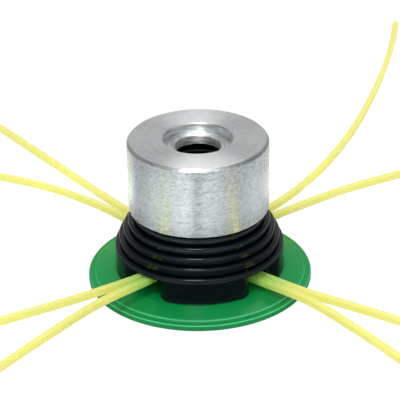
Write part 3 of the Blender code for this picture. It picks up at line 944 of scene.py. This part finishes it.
steel = zinc_steel()
screw_corners = [
    (0, HEAD_FACE, 0),
    (HEAD_RADIUS, HEAD_FACE, 0.08 * MM),
    (HEAD_RADIUS, HEAD_FACE + HEAD_LIP, 0.08 * MM),
    (SHANK_RADIUS, HEAD_FACE + HEAD_LIP + HEAD_RADIUS - SHANK_RADIUS, 0.1 * MM),
    (SHANK_RADIUS, SCREW_TIP - SCREW_POINT, 0),
    (SHANK_RADIUS - SCREW_POINT, SCREW_TIP, 0),
    (0, SCREW_TIP, 0),
]
for side, angle in BOSS_DIRECTIONS.items():
    screw = turn(f"screw_{side}_turned", screw_corners, steel, steps=64)
    combine(screw, hexagon_cutter(steel), "DIFFERENCE")
    on_circle = Matrix.Translation((SCREW_CIRCLE, 0, 0))
    screw.data.transform(Matrix.Rotation(math.radians(angle), 4, "Z") @ on_circle)
    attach(screw, "root")
    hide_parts(f"screw_{side}")

# Floor and light
# The head stands on a white floor in a white tent, under two softboxes. Metal and gloss show panels with
# darker gaps between them, a high window on the camera's side and a floor with a painted shadow of the head
# close to it and a painted bright ring beyond, all of them as brightness by bearing, height and distance.

# A bearing of 0 or 1 is the left side, and a quarter is the camera's side
FLOOR_BY_BEARING = [
    (0.0, 0.54), (0.045, 0.67), (0.12, 0.80), (0.165, 0.93), (0.19, 0.93), (0.205, 0.78), (0.222, 0.52),
    (0.24, 0.47), (0.262, 0.74), (0.275, 0.78), (0.30, 0.73), (0.33, 0.66), (0.372, 0.54), (0.42, 0.47),
    (0.45, 0.49), (0.50, 0.60), (0.57, 0.56), (0.64, 0.64), (0.70, 0.80), (0.79, 0.80), (0.857, 0.86),
    (0.91, 0.43), (0.945, 0.38), (0.97, 0.46),
]
# Painted shade and light on the floor as gloss sees it: dark close to the head as its shadow, and a bright
# ring about 80 mm out.
FLOOR_SHADOW_AND_GLOW_BY_DISTANCE = [
    (0.21, 0.0), (0.25, 0.02), (0.31, 0.10), (0.355, 0.2), (0.385, 0.6), (0.402, 2.65), (0.46, 1.55),
    (0.66, 0.84), (1.0, 0.6),
]
FLOOR_REACH = 0.2  # distance from the axis that counts as 1
BEARING_CENTRE = (-1 * MM, -13 * MM)  # the point that the floor's bearings are taken from
SKY_BY_BEARING = [
    (0.0, 1.1), (0.1, 1.3), (0.16, 1.4), (0.32, 1.4), (0.38, 1.2), (0.46, 0.8), (0.53, 0.45), (0.60, 0.5),
    (0.68, 1.0), (0.78, 1.0), (0.87, 0.55), (0.95, 0.5),
]
SKY_BY_HEIGHT = [(0.0, 0.48), (0.30, 0.52), (0.44, 0.72), (0.6, 0.50), (1.0, 0.33)]
WINDOW_BY_BEARING = [(0.08, 0.0), (0.16, 2.2), (0.32, 2.2), (0.40, 0.0)]
WINDOW_BY_HEIGHT = [(0.44, 0.0), (0.56, 0.6), (0.9, 0.42), (1.0, 0.2)]


def bearing_of(x, y):
    """Bearing about Z from 0 to 1."""
    return y.math("ARCTAN2", x) / (2 * math.pi) + 0.5


def ray_kinds(graph):
    """Masks of the rays that see the tent plain white and of those that gloss and metal send out."""
    rays = graph.add("ShaderNodeLightPath")
    through = rays.out("Is Transmission Ray")
    return rays.math("MAXIMUM", through), rays.out("Is Glossy Ray") * (1 - through)


floor_material, graph, place = new_material("white_floor")
plain, in_gloss = ray_kinds(graph)
spot, radius = spot_and_radius(graph, place)
bearing = bearing_of(spot - BEARING_CENTRE[0], spot.out("Y") - BEARING_CENTRE[1])
shadow_and_glow_by_distance = grey_ramp(graph, FLOOR_SHADOW_AND_GLOW_BY_DISTANCE, radius / FLOOR_REACH)
lit = (grey_ramp(graph, FLOOR_BY_BEARING, bearing) * shadow_and_glow_by_distance).math("MAXIMUM", 1 - in_gloss)
paper = graph.add("ShaderNodeBsdfDiffuse", None, {"Color": (0.8, 0.8, 0.8, 1)})
pale = graph.add("ShaderNodeBsdfDiffuse", None, {"Color": (0.12, 0.12, 0.12, 1)})
glow = graph.add("ShaderNodeEmission", None, {"Color": (1, 1, 1, 1), "Strength": lit * 0.92})
bright = graph.add("ShaderNodeAddShader", None, [pale, glow])
surface = graph.add("ShaderNodeMixShader", None, [plain.math("MAXIMUM", in_gloss), paper, bright])
graph.add("ShaderNodeOutputMaterial", None, [surface])
bm = bmesh.new()
bmesh.ops.create_grid(bm, x_segments=1, y_segments=1, size=4.0)
bmesh.ops.translate(bm, verts=bm.verts, vec=(0, 0, -0.1 * MM))  # clear of the disc's underside
floor_mesh = bpy.data.meshes.new("floor")
bm.to_mesh(floor_mesh)
bm.free()
floor = bpy.data.objects.new("floor", floor_mesh)
bpy.context.scene.collection.objects.link(floor)
floor.data.materials.append(floor_material)

world = bpy.data.worlds.new("studio")
world.use_nodes = True
world.node_tree.nodes.clear()
bpy.context.scene.world = world
graph = Graph(world.node_tree)
direction = graph.add("ShaderNodeSeparateXYZ", None, [graph.add("ShaderNodeTexCoord", output="Generated")])
height = direction.out("Z")
bearing = bearing_of(direction, direction.out("Y"))
plain, in_gloss = ray_kinds(graph)
panels = grey_ramp(graph, SKY_BY_BEARING, bearing) * grey_ramp(graph, SKY_BY_HEIGHT, height)
window = grey_ramp(graph, WINDOW_BY_BEARING, bearing) * grey_ramp(graph, WINDOW_BY_HEIGHT, height)
soft = 0.74 + height * 0.36 + direction.out("Y") * 0.2
light = (in_gloss * (panels + window) + (1 - in_gloss) * soft) * 0.8
strength = light.math("MAXIMUM", plain)
sky = graph.add("ShaderNodeBackground", None, {"Color": (1, 1, 1, 1), "Strength": strength})
graph.add("ShaderNodeOutputWorld", None, [sky])


def softbox(name, azimuth, elevation, distance, size, power):
    """A square lamp that faces the head from a bearing about Z."""
    data = bpy.data.lights.new(name, "AREA")
    data.shape = "SQUARE"
    data.size = size
    data.energy = power
    lamp = bpy.data.objects.new(name, data)
    bpy.context.scene.collection.objects.link(lamp)
    a, e = math.radians(azimuth), math.radians(elevation)
    lamp.location = Vector((math.cos(a) * math.cos(e), math.sin(a) * math.cos(e), math.sin(e))) * distance
    lamp.rotation_euler = lamp.location.to_track_quat("Z", "Y").to_euler()


softbox("front_softbox", -105, 62, 0.8, 0.22, 1.8)
softbox("back_softbox", 80, 65, 0.8, 0.4, 1.4)

bpy.context.scene.view_settings.view_transform = "Standard"
